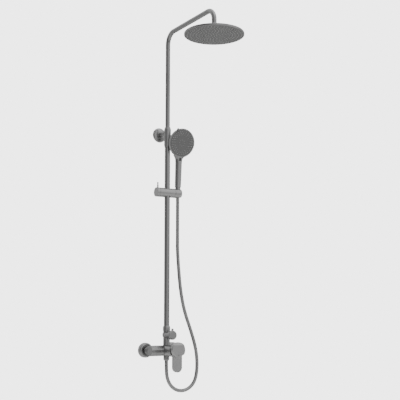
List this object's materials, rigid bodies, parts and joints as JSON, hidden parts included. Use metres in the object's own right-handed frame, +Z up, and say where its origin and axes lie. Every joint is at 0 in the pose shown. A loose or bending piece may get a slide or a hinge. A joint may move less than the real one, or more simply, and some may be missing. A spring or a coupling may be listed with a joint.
{
  "type": "rainfall shower column",
  "caption": "Wall-mounted shower column: single-lever mixer with diverter, telescopic riser, swivel arm with round overhead shower, sliding holder, hand shower and hose.",
  "frame": {"origin": "on the finished wall, midway between the two water supplies, at the height of the mixer's axis", "axes": "+X to the right along the wall, +Y into the wall, +Z up"},
  "size_m": [0.2591, 0.5635, 1.448],
  "materials": {
    "satin_body": "satin gunmetal coating on turned brass",
    "satin_tube": "satin gunmetal coating on drawn tube",
    "satin_rosette": "satin gunmetal coating on pressed steel",
    "satin_lever": "satin gunmetal coating on cast zinc",
    "satin_slider": "satin gunmetal coating",
    "satin_handset": "satin gunmetal coating on ABS",
    "satin_union": "satin gunmetal coating on turned brass",
    "spray_plate": "satin dark grey plastic",
    "neck_insert": "satin near-black plastic",
    "satin_head": "satin gunmetal coating on stainless steel",
    "head_plate": "satin gunmetal coating on stainless steel",
    "nozzle_rubber": "grey silicone",
    "hose_metal": "smooth silver-grey sheath",
    "brass": "machined",
    "black_rubber": "matte",
    "black_plastic": "moulded",
    "white_nylon": "moulded",
    "ceramic": "lapped ceramic",
    "steel": "stainless steel",
    "index_plug": "moulded, plain"
  },
  "bodies": {
    "root": {"wall_unions": "satin_union", "mixer_body": "satin_body", "trim_ring": "satin_body", "diverter_body": "satin_body", "riser_nut": "satin_body", "sleeve": "satin_body", "bracket_rod": "satin_body", "outlet_nut": "satin_body", "hose_outlet": "satin_body", "union_nuts": "satin_body", "lower_tube": "satin_tube", "supply_rosettes": "satin_rosette", "bracket_rosette": "satin_rosette", "hose_main": "hose_metal", "cartridge_nut": "brass", "flat_washers": "black_rubber", "riser_seal": "black_rubber", "cartridge_body": "black_plastic", "diverter_cartridge": "black_plastic", "check_valves": "white_nylon", "fixed_disc": "ceramic", "wall_plate": "steel", "wall_screws": "steel", "grub_screws": "steel"},
    "mixing_rotor": {"cartridge_rotor": "black_plastic", "spindle_pin": "steel"},
    "mixing_disc": {"moving_disc": "ceramic"},
    "lever": {"lever_spindle": "brass", "lever_handle": "satin_lever", "lever_screw": "steel", "index_plug": "index_plug"},
    "diverter": {"diverter_spindle": "brass", "diverter_knob": "satin_body", "diverter_pin": "satin_body"},
    "telescope": {"guide_piston": "white_nylon", "piston_seals": "black_rubber"},
    "arm": {"upper_tube": "satin_tube", "ball_stem": "satin_head"},
    "ball_ring": {"ball_seat": "white_nylon"},
    "head": {"head_shell": "satin_head", "head_plate": "head_plate", "ball_nut": "satin_head", "head_nozzles": "nozzle_rubber"},
    "carriage": {"slider_bush": "white_nylon", "hose_middle": "hose_metal"},
    "slider": {"slider_housing": "satin_slider", "brake_shoe": "white_nylon", "hose_upper": "hose_metal"},
    "lock": {"lock_knob": "satin_slider", "lock_pin": "satin_body"},
    "holder": {"holder": "satin_slider", "holder_screw": "steel", "hose_top": "hose_metal"},
    "handset": {"cone_nut": "satin_handset", "handset_washer": "black_rubber", "handset_shell": "satin_handset", "handset_core": "black_plastic", "neck_insert": "neck_insert"},
    "spray_face": {"spray_plate": "spray_plate", "spray_nozzles": "nozzle_rubber"}
  },
  "joints": [
    {"name": "lever_turn", "type": "hinge", "parent": "root", "child": "mixing_rotor", "pos_m": [0, -0.07, 0], "axis": [0, -1, 0], "range_deg": [-45, 45]},
    {"name": "lever_lift", "type": "hinge", "parent": "mixing_rotor", "child": "lever", "pos_m": [0, -0.106, 0], "axis": [-1, 0, 0], "range_deg": [0, 22]},
    {"name": "disc_slide", "type": "slide", "parent": "mixing_rotor", "child": "mixing_disc", "axis": [0, 0, -1], "range_m": [0, 0.0052]},
    {"name": "diverter_turn", "type": "hinge", "parent": "root", "child": "diverter", "pos_m": [0, -0.07, 0.06], "axis": [0, -1, 0], "range_deg": [-90, 0]},
    {"name": "telescope", "type": "slide", "parent": "root", "child": "telescope", "axis": [0, 0, 1], "range_m": [-0.3, 0.1]},
    {"name": "arm_swing", "type": "hinge", "parent": "telescope", "child": "arm", "pos_m": [0, -0.07, 0.6], "axis": [0, 0, 1], "range_deg": [-75, 75]},
    {"name": "head_tilt", "type": "hinge", "parent": "arm", "child": "ball_ring", "pos_m": [0, -0.42, 1.193], "axis": [1, 0, 0], "range_deg": [-15, 15]},
    {"name": "head_roll", "type": "hinge", "parent": "ball_ring", "child": "head", "pos_m": [0, -0.42, 1.193], "axis": [0, 1, 0], "range_deg": [-15, 15]},
    {"name": "slider_slide", "type": "slide", "parent": "root", "child": "carriage", "axis": [0, 0, 1], "range_m": [-0.25, 0.15], "deforming": ["hose_main"]},
    {"name": "slider_swivel", "type": "hinge", "parent": "carriage", "child": "slider", "pos_m": [0, -0.07, 0.62], "axis": [0, 0, 1], "range_deg": [-40, 40], "deforming": ["hose_middle"]},
    {"name": "lock_turn", "type": "hinge", "parent": "slider", "child": "lock", "pos_m": [-0.045, -0.07, 0.62], "axis": [1, 0, 0], "range_deg": [0, 90]},
    {"name": "holder_tilt", "type": "hinge", "parent": "slider", "child": "holder", "pos_m": [0.048, -0.07, 0.62], "axis": [1, 0, 0], "range_deg": [0, 30], "deforming": ["hose_upper"]},
    {"name": "handset_lift", "type": "slide", "parent": "holder", "child": "handset", "axis": [0, -0.0523, 0.9986], "range_m": [0, 0.045], "deforming": ["hose_top"]},
    {"name": "spray_select", "type": "hinge", "parent": "handset", "child": "spray_face", "pos_m": [0.048, -0.10379, 0.82151], "axis": [0, -0.9646, -0.2639], "range_deg": [-40, 40]}
  ],
  "couplings": [
    {"joint": "disc_slide", "follows": "lever_lift", "m_per_rad": 0.013}
  ]
}
